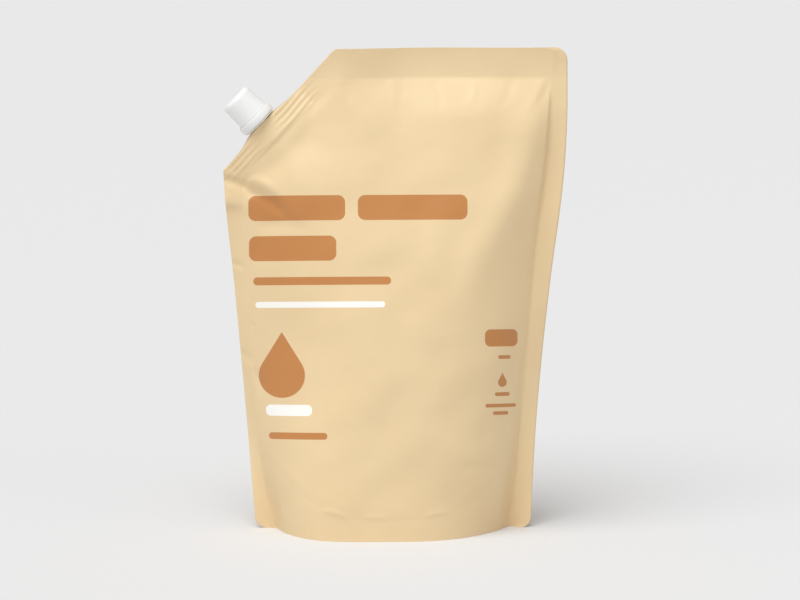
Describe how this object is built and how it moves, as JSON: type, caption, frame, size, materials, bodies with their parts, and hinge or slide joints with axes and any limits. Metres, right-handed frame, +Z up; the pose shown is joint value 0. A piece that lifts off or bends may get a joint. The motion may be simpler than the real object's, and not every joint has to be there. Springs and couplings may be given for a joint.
{
  "type": "soap refill pouch",
  "caption": "Stand-up film pouch of liquid hand soap with a cut corner, a welded spout, a tamper ring and a screw cap that lifts off",
  "frame": {"origin": "on the floor, under the middle of the standing pouch", "axes": "+Z up along the pouch's height, -Y out of the printed front panel, +X to the right seen from the front, with the spout at the upper -X corner"},
  "size_m": [0.1693, 0.0786, 0.24],
  "materials": {
    "laminate_film": "satin printed film",
    "spout_plastic": "moulded natural white",
    "ring_plastic": "moulded white",
    "liner_foam": "closed-cell foam",
    "cap_plastic": "satin white"
  },
  "bodies": {
    "pack": {"pouch": "laminate_film", "spout": "spout_plastic", "tamper_ring": "ring_plastic"},
    "liner": {"cap_liner": "liner_foam"},
    "cap": {"cap": "cap_plastic"}
  },
  "joints": [
    {"name": "cap_lift", "type": "slide", "parent": "pack", "child": "liner", "axis": [-0.7071, 0, 0.7071], "range_m": [0, 0.016]},
    {"name": "cap_turn", "type": "hinge", "parent": "liner", "child": "cap", "pos_m": [-0.06583, 0, 0.20359], "axis": [-0.7071, 0, 0.7071], "range_deg": [0, 1440]}
  ],
  "couplings": [
    {"joint": "cap_turn", "follows": "cap_lift", "rad_per_m": 1570.8}
  ]
}
